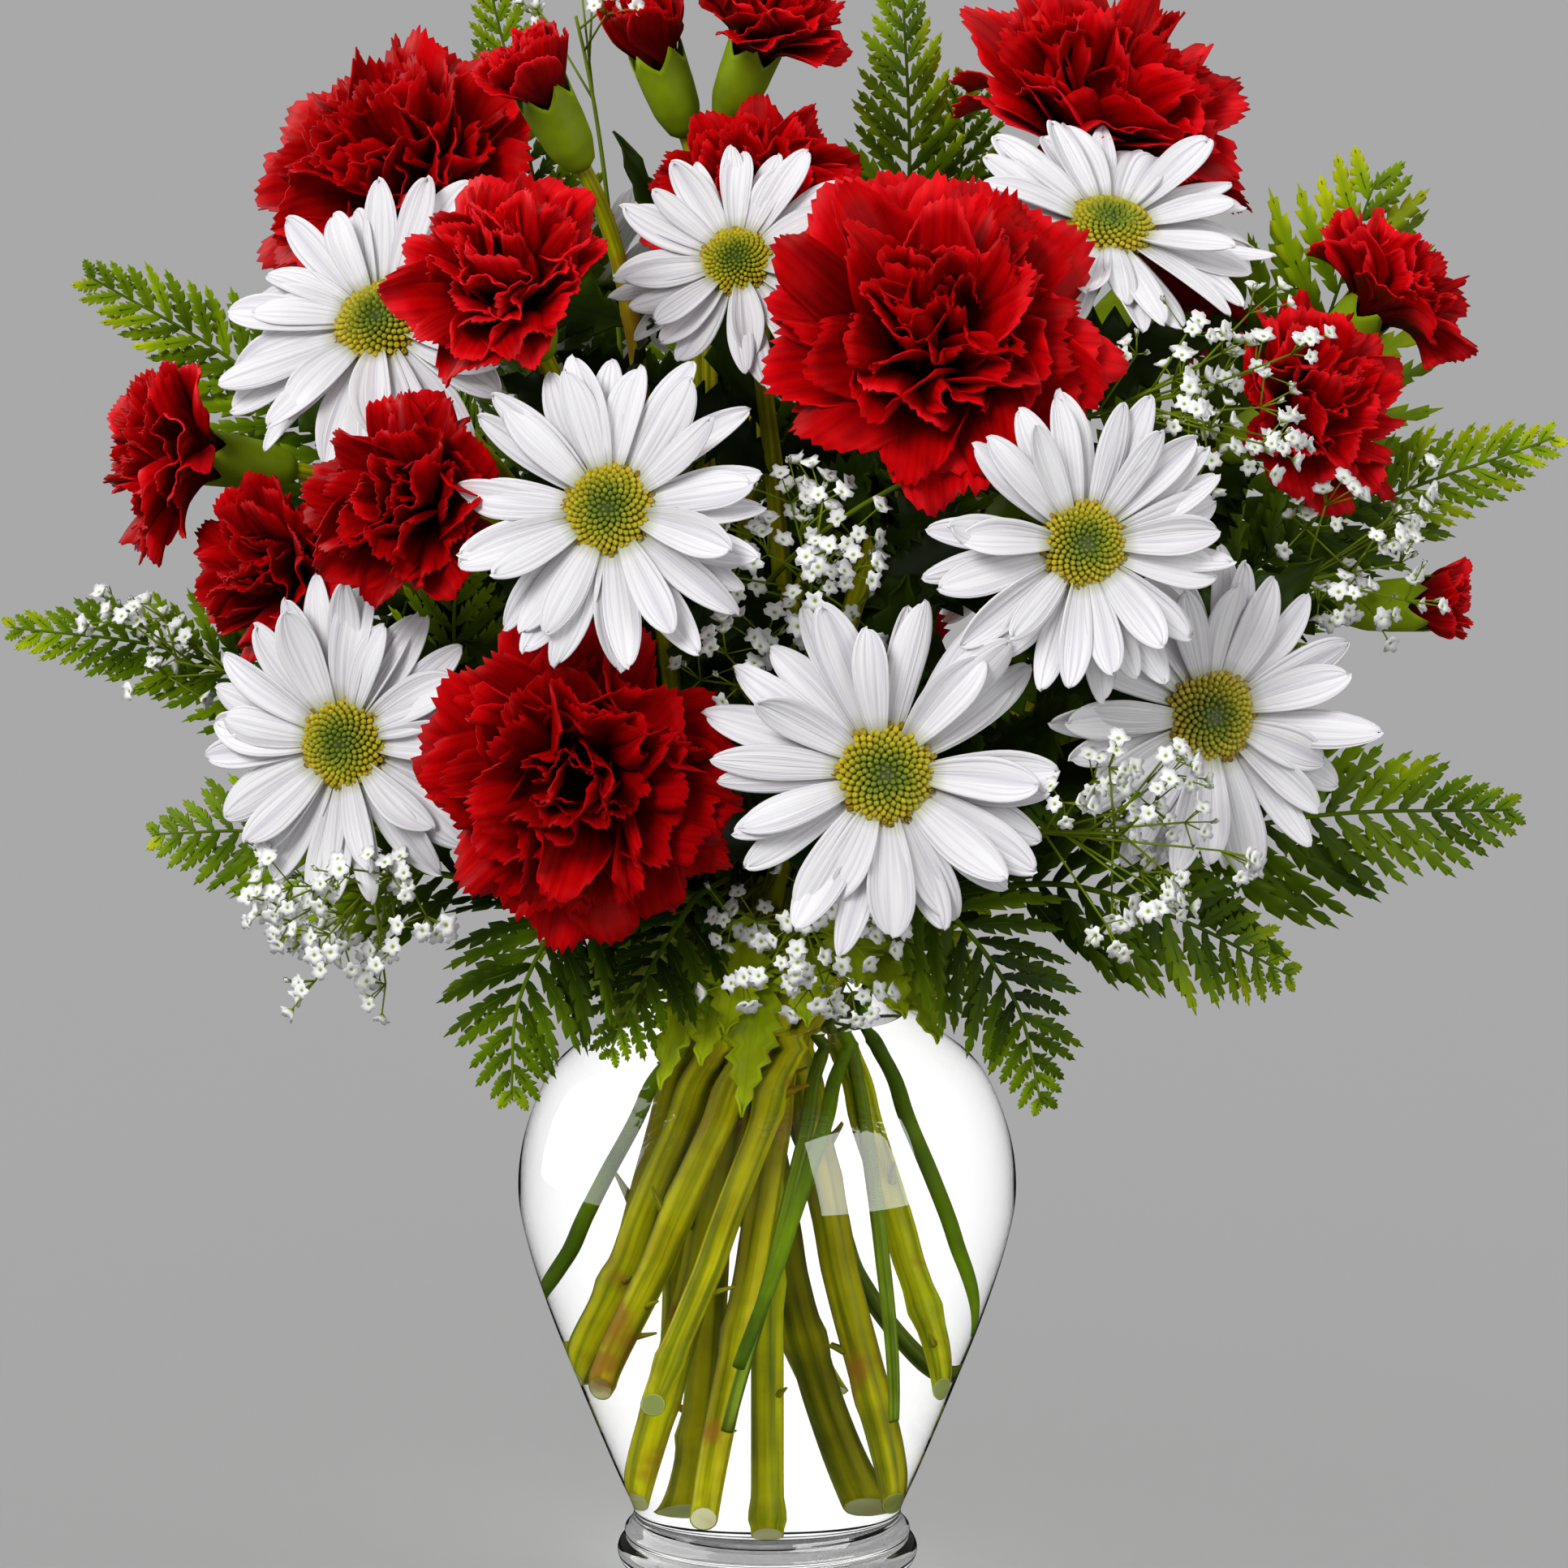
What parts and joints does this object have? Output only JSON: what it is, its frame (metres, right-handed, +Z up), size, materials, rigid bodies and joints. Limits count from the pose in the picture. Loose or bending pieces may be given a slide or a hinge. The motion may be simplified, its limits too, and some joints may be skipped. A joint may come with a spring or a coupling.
{
  "type": "carnations in a vase",
  "caption": "Red carnations, white daisies, fern and gypsophila standing in a clear glass vase of water.",
  "frame": {"origin": "centre of the vase's flat foot, on the surface it stands on", "axes": "+Z up along the vase's axis, -Y towards the front of the bouquet, +X to its right"},
  "size_m": [0.3892, 0.2563, 0.4261],
  "materials": {
    "glass": "gloss",
    "water": "gloss",
    "red_petals": "matte",
    "white_petals": "matte",
    "yellow_discs": "matte",
    "green_stems": "satin",
    "fern_green": "satin",
    "gypsophila_white": "matte"
  },
  "bodies": {
    "root": {"vase": "glass", "daisy_1_petals": "white_petals", "daisy_1_disc": "yellow_discs", "daisy_2_petals": "white_petals", "daisy_2_disc": "yellow_discs", "daisy_3_petals": "white_petals", "daisy_3_disc": "yellow_discs", "daisy_4_petals": "white_petals", "daisy_4_disc": "yellow_discs", "daisy_5_petals": "white_petals", "daisy_5_disc": "yellow_discs", "daisy_6_petals": "white_petals", "daisy_6_disc": "yellow_discs", "daisy_7_petals": "white_petals", "daisy_7_disc": "yellow_discs", "daisy_8_petals": "white_petals", "daisy_8_disc": "yellow_discs", "daisy_9_petals": "white_petals", "daisy_9_disc": "yellow_discs", "daisy_10_petals": "white_petals", "daisy_10_disc": "yellow_discs", "carnation_1_bloom": "red_petals", "carnation_2_bloom": "red_petals", "carnation_3_bloom": "red_petals", "carnation_4_bloom": "red_petals", "carnation_5_bloom": "red_petals", "carnation_6_bloom": "red_petals", "carnation_7_bloom": "red_petals", "carnation_8_bloom": "red_petals", "carnation_9_bloom": "red_petals", "carnation_10_bloom": "red_petals", "carnation_11_bloom": "red_petals", "carnation_12_bloom": "red_petals", "carnation_13_bloom": "red_petals", "carnation_14_bloom": "red_petals", "carnation_15_bloom": "red_petals", "carnation_16_bloom": "red_petals", "carnation_17_bloom": "red_petals", "carnation_18_bloom": "red_petals", "daisy_stem_a": "green_stems", "daisy_stem_b": "green_stems", "daisy_stem_c": "green_stems", "daisy_stem_d": "green_stems", "carnation_stem_a": "green_stems", "carnation_stem_b": "green_stems", "carnation_stem_c": "green_stems", "carnation_stem_d": "green_stems", "carnation_spray_a": "green_stems", "carnation_spray_b": "green_stems", "carnation_spray_c": "green_stems", "carnation_spray_d": "green_stems", "carnation_spray_e": "green_stems", "fern_left": "fern_green", "fern_front": "fern_green", "fern_right": "fern_green", "fern_back": "fern_green", "gypsophila_left": "gypsophila_white", "gypsophila_front": "gypsophila_white", "gypsophila_right": "gypsophila_white", "water": "water"}
  },
  "joints": []
}
